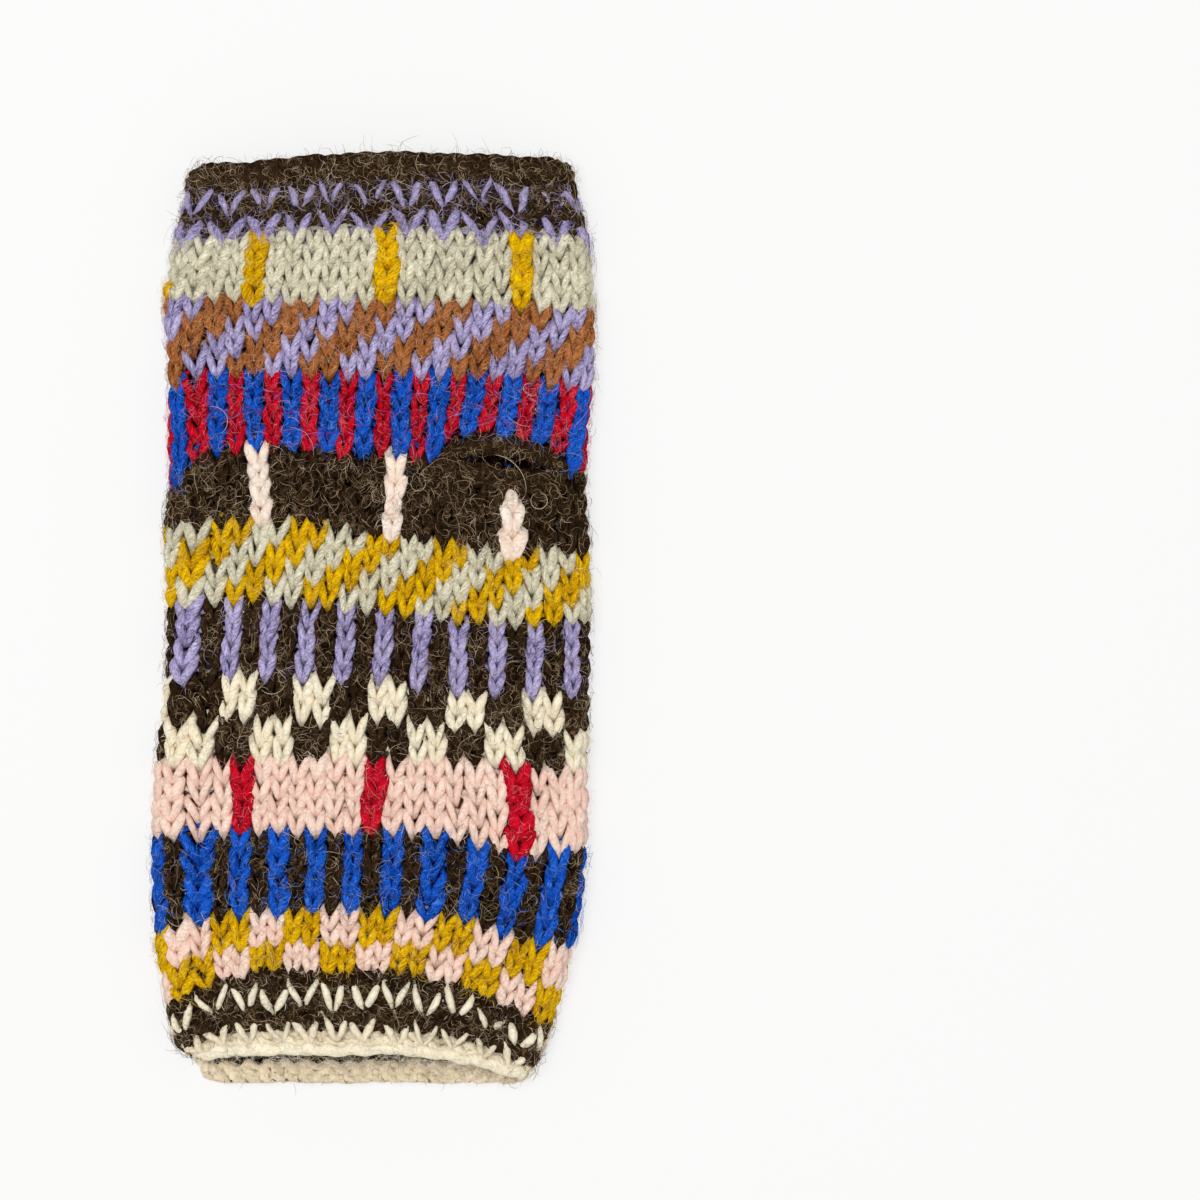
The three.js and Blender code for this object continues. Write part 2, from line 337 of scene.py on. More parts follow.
# The patterned tube. c is the column and j the row in its band, from the band's wrist side. plump is how
# fat each yarn lies, wide how much fatter or thinner a column or one stitch is, and bar the yarn whose
# stitches have broad feet, so that they close into a bar.
rowsABand = 4
firstPlace = 2  # where the first band starts, as a line of the tube's table
firstColumn = -14  # the leftmost, at mid back
barColumns = range(-11, 32, 7)
goldTuft = (-2, 0)  # one gold stitch at the left fold
bands = [
    {"set": "hand", "yarn": lambda c, j: "gold" if c in barColumns or (c, j) == goldTuft else "sage",
     "bar": "gold", "plump": {"gold": 1.3, "sage": 1.05}, "wide": {0: 1.1, (17, 3): 1.15, (17, 0): 0.88}},
    {"set": "hand", "yarn": lambda c, j: "lilac" if (c - j) % 4 < 2 else "rust",
     "plump": {"lilac": 1.04, "rust": 1.06}, "wide": {0: 1.1}},
    {"set": "hand", "yarn": lambda c, j: "red" if c % 2 == 0 else "blue",
     "plump": {"red": 0.98, "blue": 1.08},
     "wide": {0: 1.15, 10: 0.85, 12: 0.9, 14: 0.75, 16: 0.85, 18: 0.85}},
    {"set": "wrist", "yarn": lambda c, j: "palePink" if c in barColumns else "darkBrown",
     "plump": {"palePink": 1.28}, "wide": {0: 1.3, 10: 1.08, (17, 1): 1.2, (17, 0): 1.45}},
    {"set": "wrist", "yarn": lambda c, j: "sage" if (c - j) % 4 < 2 else "gold",
     "plump": {"sage": 1.03, "gold": 1.03}, "wide": {0: 1.35}},
    {"set": "wrist", "yarn": lambda c, j: "lilac" if c % 2 == 0 else "darkBrown",
     "plump": {"lilac": 0.97}, "wide": {0: 1.35}},
    {"set": "wrist", "yarn": lambda c, j: "cream" if (c % 4 > 1) == (j > 1) else "darkBrown",
     "plump": {"cream": 1.09}, "wide": {0: 1.3, 1: 1.2}},
    {"set": "wrist", "yarn": lambda c, j: "red" if c in barColumns else "pink",
     "bar": "red", "plump": {"red": 1.16, "pink": 1.1}, "wide": {0: 1.15, 10: 1.1, 17: 1.32}},
    {"set": "wrist", "yarn": lambda c, j: "blue" if c % 2 else "darkBrown",
     "plump": {"blue": 1.1, "darkBrown": 0.92}, "wide": {0: 1.1, 1: 1.4, 13: 1.2}},
    {"set": "wrist", "yarn": lambda c, j: "gold" if (c % 4 > 1) == (j > 1) else "pink",
     "plump": {"gold": 1.03, "pink": 1.05}, "wide": {0: 1.35}},
]
barFeet = {"lowest": 0.2, "others": 0.8}  # how broad they are in the bar's lowest row and in its others
frontColumns = range(-3, 23)
backPlump = 1.12  # the back's stitches lie pressed against the floor
slit = {"row": 12, "columns": range(14, 21)}  # stitches cast off for the thumb
# The stitch drawn together under the slit, how far its legs close and how much thinner it is.
gathered = {"row": 13, "column": 17, "closing": 0.95, "thinner": 0.2}

# One stitch loop, its left half from the foot up. The right half mirrors it and leans: in some yarns it is
# a little longer, wider and prouder.
stitch = {
    "half": [  # across in columns, along in rows, depth and radius in mm
        (-0.08, -0.24, -1.2, 0.62),
        (-0.09, 0.0, -0.38, 0.86),
        (-0.14, 0.27, 0.2, 0.97),
        (-0.23, 0.6, 0.55, 1.04),
        (-0.33, 0.92, 0.36, 0.98),
        (-0.39, 1.2, -0.25, 0.8),
        (-0.34, 1.42, -0.95, 0.6),
    ],
    "head": (0.0, 1.5, -1.25, 0.58),
    "sides": 5,
    "legs": [2, 3, 4, 10, 11, 12],  # the points that loose fibres grow from
    "lean": {"sage": 1.0, "gold": 0.6, "lilac": 0.6, "rust": 0.6, "pink": 0.4, "cream": 0.4},
    "otherLean": 0.5,
    "leaning": {"width": 0.1, "height": 0.07, "depth": 0.18, "radius": 0.05},
    "feet": {"width": 0.05, "depth": 0.2, "lowDepth": 0.15, "radius": 0.42},
    "widthOfThin": 0.3,  # how wide the thinnest yarn's stitch would still be
    "closingFrom": 0.2,
    "draws": 9,
    "uneven": {"width": 0.08, "height": 0.05, "climb": 0.06, "shift": 0.04, "depth": 0.12, "radius": 0.06,
               "oneLeg": 0.07},
}
leftHalf = np.array(stitch["half"])
rightHalf = leftHalf[::-1] * (-1, 1, 1, 1)
loopShape = np.concatenate([leftHalf, [stitch["head"]], rightHalf])

# How far the stitches are pulled along the tube, in mm, by place down and column across. The zeros that end
# a row are left out.
pulls = {
    "columns": [-5, -2, -1, 0, 3, 5, 8, 10.5, 13, 15, 17, 19, 21, 24],
    "rows": {
        3: [0],
        4: [0, -3.5, -3.8, 0, 0, 0, 0, 0, 0, 0, 0, -1.2, -1.3],
        5: [0, -6.5, -6.5, 0.6, 2.6, 2.6, 0.4, 0.6],
        6: [0, 0.2, 0.5, 0.8, 1.6, 1.7, -0.2, -2.4, -2.7, -3.9, -4.8, -2.8, -2.4],
        7: [0, 0, 0.1, 0.2, 1.2, 0.4, -1.2, -1.5, -3.0, -3.6, -3.8, -3.0, -2.2],
        8: [0, -0.4, 0, 0.4, 1.3, 0.6, -0.2, 0, -2.4, -2.8, -2.5, -2.2, -2.4],
        8.5: [0, 0, 0.3, 0.6, 0.5, 0.5, 0, 0, -0.9, -1.1, -1.2, -1.3, -1.2],
        9: [0, 1.2, 1.0, 0.8, 0, 0, 0, 0, -0.3, -0.4, 0.2],
        10: [0, 0.5, 0.5, 0.5, 0, 0, -0.2, 0, -0.2, -1.5, -3.6, -1.2],
        11: [0, -4.0, -2.7, -1.4, -1.2, -0.8, -1.1, -0.9, -1.5, -1.6, -1.9, -2.2, -0.8],
        12: [0],
    },
}
# And how far they are pushed round it, towards the thumb side.
pushes = {
    "columns": [-14, -5, -1, -0.4, 0.4, 1, 1.6, 3, 6, 10, 12.5, 13.5, 17, 21, 25],
    "rows": {
        3: [0, -1.0, -1.0, -0.6],
        3.5: [0, -2.6, -2.6, -1.6, -0.4],
        5: [0, -0.6, -0.6, -0.4],
        5.3: [0, -3.2, -3.2, -2.0, -1.0, 0, 0.2, 0.4, 0.1],
        7.6: [0, -3.5, -3.5, -2.2, -1.1],
        7.9: [0, -4.6, -4.6, -2.4, -1.1, 0.2, 0.5, 0.3, 0.2],
        8.4: [0, -4.4, -4.4, -2.2, -0.9, 0.4, 1.0, 0.5, 0.4],
        8.8: [0, -3.0, -3.0, -1.7, -0.8, 0.4, 1.4, 1.0, 1.1, 0.6, 0.6],
        9.8: [0, -2.0, -2.0, -1.2, -0.5, 0.5, 1.2, 1.8, 0.8, -0.2, 0.2, 0.5, 1.3, 0.6],
        10.3: [0, -1.6, -1.6, -1.4, -0.8, 0.4, 1.3, 1.0, 1.2, 0.3, 0.5, 1.2, 1.4, 0.8],
        11: [0, -1.4, -1.4, -1.2, -0.6, 0.2, 0.5, 0.7, 0.5, 0.1, 0.3, 1.3, 0.7, 0.3],
        11.6: [0, -2.5, -2.5, -1.6, -0.9],
    },
}
# The last rows above the thumb slit end this much further up, in mm. The lift grows from one place on.
slitLift = {
    "columns": [13, 14, 15, 16, 17, 18, 19, 20, 21],
    "lift": [0, 5.4, 6.1, 6.4, 6.4, 6.1, 6.3, 5.3, 0],
    "from": 4.0,
    "run": 1.3,
    "power": 1.2,
    "most": 1.2,
}


# A column counted from the middle of the back round to it again, as the tables are.
def acrossFront(columnSet, column):
    start = firstColumn - 0.5
    return np.mod(column - start, columnSet["round"]) + start


def readGrid(grid, place, column):
    places, width = list(grid["rows"]), len(grid["columns"])
    rows = [row + [0] * (width - len(row)) for row in grid["rows"].values()]
    byRow = np.array([np.interp(column, grid["columns"], row) for row in rows])
    at = np.interp(place, places, np.arange(len(places)))
    low = np.clip(np.floor(at).astype(int), 0, len(places) - 2)
    upper, lower = (np.take_along_axis(byRow, (low + step)[None], axis=0)[0] for step in (0, 1))
    return upper + (lower - upper) * (at - low)


# How far the stitches there are pushed round the tube, and how far they are pulled along it.
def pullAt(columnSet, place, column):
    if not columnSet["pulled"]:
        return 0.0, 0.0
    place, column = np.broadcast_arrays(place, acrossFront(columnSet, column))
    pull = readGrid(pulls, place, column)
    if columnSet is columnSets["hand"]:
        rise = np.interp(column, slitLift["columns"], slitLift["lift"])
        past = np.clip(place - slitLift["from"], 0, slitLift["run"])
        pull = pull + rise * np.minimum(past ** slitLift["power"], slitLift["most"])
    return readGrid(pushes, place, column), pull


# One random amount of each kind of unevenness for each stitch. draws is how many numbers each stitch takes.
def drawUneven(shape, wild, count):
    jitter = rng.normal(0, wild, (count, shape["draws"], 1))
    return {kind: amount * jitter[:, i] for i, (kind, amount) in enumerate(shape["uneven"].items())}


# closing draws the upper ends of a stitch's legs together, and feet makes its lower ends as broad as those.
def knitLoops(yarn, columnSet, columns, tipPlaces, plump, closing, feet):
    given = (columns, tipPlaces, plump, closing, feet)
    columns, tipPlaces, plump, closing, feet = (np.asarray(values, float)[:, None] for values in given)
    uneven = drawUneven(stitch, 1, len(columns))
    across, along, deep, fat = loopShape.T
    leaning, broad = stitch["leaning"], stitch["feet"]
    lean = stitch["lean"].get(yarn, stitch["otherLean"]) * (across > 0)
    thin = stitch["widthOfThin"]
    s = across * (1 + uneven["width"]) * (thin + (1 - thin) * plump) * (1 + leaning["width"] * lean)
    s = s * (1 - closing * np.clip(along - stitch["closingFrom"], 0, 1)) + uneven["shift"]
    t = along * (1 + uneven["height"]) + uneven["climb"] + leaning["height"] * lean
    low = feet * np.clip(1 - along, 0, 1)
    s = s + broad["width"] * low * np.sign(across)
    depth = deep + uneven["depth"] + leaning["depth"] * lean
    depth = depth + broad["depth"] * feet + broad["lowDepth"] * low
    radius = fat * plump * (1 + uneven["radius"] + uneven["oneLeg"] * np.sign(across))
    radius = radius * (1 + leaning["radius"] * (lean - 0.25)) * (1 + broad["radius"] * low)
    middles, normals, _ = knitPoint(columnSet, tipPlaces - t / rowsABand, columns + s, depth)
    addStrands(yarn, middles, normals, radius, stitch["sides"], legs=stitch["legs"])


# What one stitch of the chart asks of knitLoops. row counts the rows from the finger edge.
def chartCell(band, yarn, c, j, row):
    wide = band["wide"].get((c, j), band["wide"].get(c, 1.0))
    plump = band["plump"].get(yarn, 1.0) * wide
    plump *= 1.0 if c in frontColumns else backPlump
    closing = gathered["closing"] if (row, c) == (gathered["row"], gathered["column"]) else 0.0
    plump *= 1 - gathered["thinner"] * closing
    feet = 0.0
    if yarn == band.get("bar"):
        feet = barFeet["others"] if j else barFeet["lowest"]
    return c, firstPlace + (row + 1) / rowsABand, plump, closing, feet


def knitBands():
    chart = {}
    for b, band in enumerate(bands):
        for j in range(rowsABand):
            row = rowsABand * (b + 1) - 1 - j
            for c in range(firstColumn, firstColumn + columnSets[band["set"]]["round"]):
                if row == slit["row"] and c in slit["columns"]:
                    continue
                yarn = band["yarn"](c, j)
                chart.setdefault((yarn, band["set"]), []).append(chartCell(band, yarn, c, j, row))
    for (yarn, setName), cells in chart.items():
        knitLoops(yarn, columnSets[setName], *zip(*cells))


knitBands()
print("bands knitted")

# Rows of the welts, each one strand knitted right round in wide stitches.
weltStitch = {
    "half": [  # across in stitches, along from tip 0 to top 1, depth and radius
        (-0.5, -0.16, -1.7, 0.55),
        (-0.24, -0.14, -1.3, 0.55),
        (-0.09, 0.0, -0.4, 0.5),
        (-0.16, 0.28, 0.22, 0.88),
        (-0.26, 0.58, 0.42, 1.0),
        (-0.37, 0.88, 0.1, 0.76),
        (-0.41, 1.1, -0.7, 0.42),
        (-0.22, 1.2, -1.5, 0.55),
    ],
    "head": (0.0, 1.24, -1.65, 0.55),
    "foot": 2,  # the point at a leg's foot
    "cup": (-0.7, 0.6, 0.42),  # what a full cup adds there: a share across, depth and radius
    "tops": slice(5, 7),  # the points at a leg's top
    "sides": 7,
    "draws": 6,
    "uneven": {"width": 0.05, "shift": 0.03, "climb": 0.07, "depth": 0.12, "radius": 0.07},
}
# tip and top are places along the tube, raised how far out they lie in mm, cup how full the cup at their
# feet is, wild how uneven they are, blunt how much fatter their tops are, and hairs how hairy.
weltRows = named("set yarn tip top radius raised cup wild blunt hairs", [
    ("fingerWelt", "darkBrown", 1.18, 0.45, 1.1, 0.05, 0, 1.0, 0, 1),
    ("fingerWelt", "lilac", 1.52, 0.88, 0.82, 0.35, 0.2, 2.0, 0, 5),
    ("fingerWelt", "darkBrown", 1.86, 1.36, 1.05, 0.1, 0, 1.0, 0, 1),
    ("fingerWelt", "lilac", 2.1, 1.62, 1.08, 0.25, 1, 1.7, 0, 4),
    ("wristWelt", "darkBrown", 12.4, 11.8, 1.1, 0.0, 0, 1.0, 0, 1),
    ("wristWelt", "cream", 12.68, 12.2, 0.92, 0.45, 0.1, 1.6, 0, 1),
    ("wristWelt", "darkBrown", 13.02, 12.6, 1.1, 0.15, 0, 1.0, 0, 1),
    ("wristWelt", "cream", 13.46, 12.86, 0.84, 0.6, 1, 1.4, -0.22, 1),
])


def knitWelt(row):
    columnSet = columnSets[row["set"]]
    count = columnSet["round"]
    shape = np.array(weltStitch["half"])
    foot = shape[weltStitch["foot"]]
    nearer, outward, fatter = weltStitch["cup"]
    foot += row["cup"] * np.array([nearer * foot[0], 0, outward, fatter])
    shape[weltStitch["tops"], 3] += row["blunt"]
    shape = np.concatenate([shape, [weltStitch["head"]], (shape[::-1] * (-1, 1, 1, 1))[:-1]])
    across, along, deep, fat = shape.T
    uneven = drawUneven(weltStitch, row["wild"], count)
    inner = np.arange(len(shape)) > 0  # the first point, which the stitch shares with its neighbour, stays
    s = np.arange(count)[:, None] + across + inner * (uneven["width"] * across + uneven["shift"])
    depth = deep + uneven["depth"] + row["raised"]
    radius = fat * row["radius"] * (1 + uneven["radius"])
    place = row["tip"] + (row["top"] - row["tip"]) * (along + inner * uneven["climb"])
    middles, normals, _ = knitPoint(columnSet, place, s, depth)
    addStrands(row["yarn"], middles.reshape(1, -1, 3), normals.reshape(1, -1, 3), radius.reshape(1, -1),
               weltStitch["sides"], hairs=row["hairs"])


for row in weltRows:
    knitWelt(row)
print("welts knitted")

# Rows of purl bumps right round the tube: the rolled ends, and the ground that fills the welts. bumps are
# those in a turn, lump the share that they swell by, and face -1 the inside. The rest is in mm.
ground = (1.2, 0.5, 0.16, 1, 0.6)  # radius, bend, lump, face and hairs behind the welts' strokes
ridges = named("yarn place lift depth bumps radius bend lump face hairs", [
    ("darkBrown", 0.0, -0.8, -0.6, 44, 1.35, 0.08, 0.07, 1, 0.6),
    ("darkBrown", 0.0, -2.2, 0.65, 61, 1.3, 0.15, 0.08, 1, 0.4),
    ("darkBrown", 0.0, -3.8, 0.85, 57, 1.3, 0.3, 0.12, 1, 0.5),
    ("darkBrown", 0.0, -5.3, 0.4, 53, 1.2, 0.45, 0.15, 1, 0.5),
    ("darkBrown", 0.0, -2.4, -1.2, 44, 1.2, 0.4, 0.14, -1, 0.2),
    ("darkBrown", 0.0, -4.6, -1.2, 42, 1.2, 0.4, 0.14, -1, 0.2),
    ("darkBrown", 1.0, 0.2, -0.6, 44, *ground),
    ("darkBrown", 1.2, 0.0, -0.7, 46, *ground),
    ("darkBrown", 1.4, 0.0, -0.65, 44, *ground),
    ("darkBrown", 1.6, 0.0, -0.55, 45, *ground),
    ("lilac", 2.0, 0.0, -1.0, 24, 0.9, 0.6, 0.2, 1, 1),
    ("darkBrown", 1.8, 0.0, -0.75, 44, *ground),
    ("darkBrown", 12.05, 0.0, -0.6, 44, *ground),
    ("darkBrown", 12.25, 0.0, -0.5, 45, *ground),
    ("darkBrown", 12.45, 0.0, -0.55, 44, *ground),
    ("darkBrown", 12.65, 0.0, -0.45, 43, *ground),
    ("darkBrown", 12.88, 0.0, 0.1, 26, 1.2, 0.7, 0.2, 1, 0.6),
    ("darkBrown", 13.05, 0.0, -0.4, 44, *ground),
    ("cream", 13.34, 0.0, -1.05, 39, 1.05, 0.6, 0.25, 1, 1),
    ("cream", 13.54, 0.0, -0.35, 31, 1.15, 0.55, 0.17, 1, 1),
    ("cream", 13.76, 0.0, 0.3, 31, 1.45, 0.28, 0.11, 1, 1),
    ("cream", 14.0, 0.9, -0.7, 37, 1.2, 0.2, 0.09, 1, 1),
    ("cream", 14.0, 0.9, -1.45, 52, 1.15, 0.5, 0.44, -1, 1),
    ("cream", 14.0, 2.4, -1.65, 47, 1.15, 0.6, 0.44, -1, 1),
    ("cream", 14.0, 3.8, -1.8, 36, 1.05, 0.7, 0.44, -1, 1),
    ("darkBrown", 14.0, 5.7, -1.8, 40, 1.2, 0.8, 0.23, -1, 0),
    ("darkBrown", 14.0, 8.2, -1.15, 43, 1.1, 0.6, 0.18, -1, 0),
])
# crowding is how unevenly the bumps stand, and anyPhase the most that a row's start is turned by.
ridgeShape = {"stepsABump": 5, "sides": 6, "thickness": 0.95, "uneven": 0.07, "crowding": 0.8, "crowds": 9,
              "outward": 0.5, "swellPhase": 1.0, "anyPhase": 6}
mouthLip = {"below": 1.4, "above": 5}  # radii past the hem's last row, and the least height in mm
mouth = []  # points, normals and weights that fluff grows from, on the lip of the wrist opening


def layRidge(ridge):
    steps = ridge["bumps"] * ridgeShape["stepsABump"]
    share = np.arange(steps) / steps
    turn = 2 * math.pi * share
    place = np.full(steps, ridge["place"])
    crowded = ridgeShape["crowding"] * np.sin(ridgeShape["crowds"] * turn)
    phase = ridge["bumps"] * turn + crowded + rng.uniform(0, ridgeShape["anyPhase"])
    lift = ridge["lift"] + ridge["bend"] * np.cos(phase)
    lift = lift + drift["ridge"] * driftAt(turn, place, drift["alongPhase"])
    point, normal, fingers = wallFrame(place, (share - 0.5) * girthAt(place), lift)
    depth = ridge["depth"] - tube["strandInset"] + ridgeShape["outward"] * ridge["bend"] * np.sin(phase)
    middle = point + normal * depth[:, None]
    uneven = np.repeat(rng.normal(0, ridgeShape["uneven"], ridge["bumps"]), ridgeShape["stepsABump"])
    radius = ridge["radius"] * (1 + ridge["lump"] * np.sin(phase + ridgeShape["swellPhase"]) + uneven)
    addStrands(ridge["yarn"], middle[None], normal[None], radius[None], ridgeShape["sides"],
               thickness=ridgeShape["thickness"], face=ridge["face"], hairs=ridge["hairs"])
    if ridge["place"] == lastPlace and ridge["face"] > 0:
        inFront = 1.0 * (middle[:, 2] > mouthLip["above"])
        mouth.append((middle - mouthLip["below"] * fingers * radius[:, None], normal, inFront))


for ridge in ridges:
    layRidge(ridge)
print("ends rolled")

# The yarn carried along behind each row, right round, or from one side of the thumb slit to the other.
carried = {
    "yarns": ["sage", "rust", "blue", "darkBrown", "gold", "lilac", "cream", "pink", "blue", "gold"],
    "depth": -1.05,
    "radius": 0.72,
    "sides": 5,
    "step": 0.5,  # columns
    "wave": 0.05,  # places
    "uneven": 0.012,
    "below": 0.45,  # rows
    "slitRows": (11, 12),
    "pastSlit": (21.5, 13),
}
# Dark brown ones across the back, behind the slit, in rows counted from the first below it. They are
# floats, and their dark brown also stands as painted shade inside the slit.
backing = {"band": 3, "first": -2.4, "last": 1.7, "apart": 0.33, "columns": (22, -4)}


def carryYarn(band, row, first=0, last=0):
    columnSet = columnSets[bands[band]["set"]]
    column = np.arange(first, last + columnSet["round"], carried["step"])
    steps = len(column)
    wave = carried["wave"] * np.cos(math.pi * np.arange(steps))
    place = firstPlace + (rowsABand * band + row) / rowsABand + wave
    place = place + rng.normal(0, carried["uneven"], steps)
    middle, normal, _ = knitPoint(columnSet, place, column, np.full(steps, carried["depth"]))
    radius = np.full(steps, carried["radius"])
    strand = sweep(middle[None], normal[None], radius[None], carried["sides"], first == last)
    strands[carried["yarns"][band]].append(strand)


for b in range(len(bands)):
    for j in range(rowsABand):
        atSlit = rowsABand * b + j in carried["slitRows"]
        carryYarn(b, j + carried["below"], *(carried["pastSlit"] if atSlit else (0, 0)))
for row in np.arange(backing["first"], backing["last"], backing["apart"]):
    carryYarn(backing["band"], row, *backing["columns"])
print("floats carried")

# The thumb slit's two lips: rows of short bumps that run from one column to another.
# corner and middle are how far a row lies above the slit's line there, in mm. Its ends tuck in.
slitLips = named("from to corner middle depth radius hairs", [
    (13.6, 20.6, 0.9, 6.0, -0.3, 1.25, 0.35),
    (13.6, 20.6, 0.7, 4.5, 0.45, 1.2, 0.35),
    (13.8, 20.5, 0.4, 3.1, 0.5, 1.1, 0.2),
    (13.9, 20.4, 0.3, 3.1, -0.8, 1.1, 0.02),
    (13.8, 20.5, -0.4, -1.2, -0.8, 1.05, 0.02),
    (13.6, 20.6, -0.4, -1.6, 0.2, 1.05, 0.2),
    (13.5, 20.7, -1.6, -3.3, 0.05, 1.15, 0.35),
    (13.5, 20.7, -3.2, -4.7, -0.35, 1.15, 0.35),
])
lipShape = {"place": 5.0, "steps": 60, "archPower": 0.6, "bumps": 8, "bend": 0.3, "outward": 0.2,
            "lump": 0.14, "uneven": 0.04, "tuck": 1.2, "tuckRun": 1 / 8}


def layLip(lip):
    steps = lipShape["steps"]
    share = np.linspace(0, 1, steps)
    arch = np.sin(math.pi * share) ** lipShape["archPower"]
    phase = 2 * math.pi * lipShape["bumps"] * share + rng.uniform(0, ridgeShape["anyPhase"])
    lift = lip["corner"] + (lip["middle"] - lip["corner"]) * arch + lipShape["bend"] * np.cos(phase)
    place = np.full(steps, lipShape["place"])
    arc = columnArc(columnSets["hand"], place, lip["from"] + (lip["to"] - lip["from"]) * share)
    point, normal, _ = wallFrame(place, arc, lift)
    fromEnd = np.minimum(share, 1 - share) / lipShape["tuckRun"]
    tuck = lipShape["tuck"] * (1 - np.minimum(1, fromEnd) ** 0.5)
    depth = lip["depth"] - tube["strandInset"] + lipShape["outward"] * np.sin(phase) - tuck
    middle = point + normal * depth[:, None]
    swell = lipShape["lump"] * np.sin(phase + ridgeShape["swellPhase"])
    radius = lip["radius"] * (1 + swell + rng.normal(0, lipShape["uneven"], steps))
    addStrands("darkBrown", middle[None], normal[None], radius[None], ridgeShape["sides"], closed=False,
               thickness=ridgeShape["thickness"], hairs=lip["hairs"])


for lip in slitLips:
    layLip(lip)
print("thumb slit bound")


# Sets the sockets of a node by their names.
def setInputs(node, values):
    for name, value in values.items():
        node.inputs[name].default_value = value


# A shader group, with its own sockets, the object's coordinates and the shade of each strand or hair.
def startGroup(name, inputs, outputs):
    group = bpy.data.node_groups.new(name, "ShaderNodeTree")
    for way, sockets in (("INPUT", inputs), ("OUTPUT", outputs)):
        for socketName, kind in sockets.items():
            group.interface.new_socket(name=socketName, in_out=way, socket_type="NodeSocket" + kind)
    given = group.nodes.new("NodeGroupInput").outputs
    result = group.nodes.new("NodeGroupOutput").inputs
    shade = group.nodes.new("ShaderNodeAttribute")
    shade.attribute_name = "shade"
    place = group.nodes.new("ShaderNodeTexCoord").outputs["Object"]
    return group, given, result, shade.outputs["Fac"], place


def addMath(group, operation, first, second, third=None, clamp=False):
    node = group.nodes.new("ShaderNodeMath")
    node.operation = operation
    node.use_clamp = clamp
    for socket, value in zip(node.inputs, (first, second, third)):
        if isinstance(value, (int, float)):
            socket.default_value = value
        elif value is not None:
            group.links.new(value, socket)
    return node.outputs["Value"]


def addNoise(group, vector, scale, detail, roughness, distortion=0.0):
    node = group.nodes.new("ShaderNodeTexNoise")
    setInputs(node, {"Scale": scale, "Detail": detail, "Roughness": roughness, "Distortion": distortion})
    group.links.new(vector, node.inputs["Vector"])
    return node.outputs["Fac"]


def addRange(group, value, low, high, newLow=0.0, newHigh=1.0):
    node = group.nodes.new("ShaderNodeMapRange")
    setInputs(node, {"From Min": low, "From Max": high, "To Min": newLow, "To Max": newHigh})
    group.links.new(value, node.inputs["Value"])
    return node.outputs["Result"]


def addMix(group, factor, first, second):
    node = group.nodes.new("ShaderNodeMix")
    node.data_type = "RGBA"
    for name, value in (("Factor", factor), ("A", first), ("B", second)):
        group.links.new(value, node.inputs[name])
    return node.outputs["Result"]


# Thin curly lines where a noise passes its middle value, one set for each scale and seed of the look.
def addLines(group, place, look):
    lines = None
    for scale, seed in look["sets"]:
        moved = group.nodes.new("ShaderNodeMapping")
        setInputs(moved, {"Location": (seed, -seed, 2 * seed), "Scale": (scale, scale, scale)})
        group.links.new(place, moved.inputs["Vector"])
        hill = addNoise(group, moved.outputs["Vector"], 1.0, 0.0, 0.5, look["curl"])
        away = addMath(group, "ABSOLUTE", addMath(group, "SUBTRACT", hill, 0.5), 0.0)
        line = addRange(group, away, *look["width"], 1.0, 0.0)
        lines = line if lines is None else addMath(group, "MAXIMUM", lines, line)
    return lines


# Noises have a scale, a detail and a roughness. A strand's own uv is mm along it and one turn round.
woolLook = {
    "twist": 0.11,  # turns a mm
    "streak": {"along": 0.7, "round": 15.0, "noise": (1.0, 3.0, 0.75)},
    "mottle": (1700.0, 3.0, 0.8),
    "patch": (330.0, 2.0, 0.5),
    # Painted shade: a strand darkens off its crest, down its sides, where its neighbours would shade it.
    "side": (0.13, 0.3),  # share of a turn off the crest where it starts and ends to darken
    "mix": {"streak": 0.7, "mottle": 0.3, "ply": 0.02, "shade": 0.08, "patch": 0.14, "side": -0.12},
    "darkToLight": (0.46, 0.72),
    "strays": {"sets": ((230.0, 3.0), (310.0, 11.0), (400.0, 23.0)), "width": (0.003, 0.013), "curl": 0.9},
    "strayPatch": (0.4, 0.5),
    # Painted shade: dark flecks laid in the relief's dips between fibres.
    "pits": {"sets": ((450.0, 31.0), (620.0, 47.0)), "width": (0.006, 0.026), "curl": 0.9},
    "pitMottle": (0.52, 0.42),
    "relief": {"strays": 0.25, "mottle": 0.12, "pits": -0.1},
}
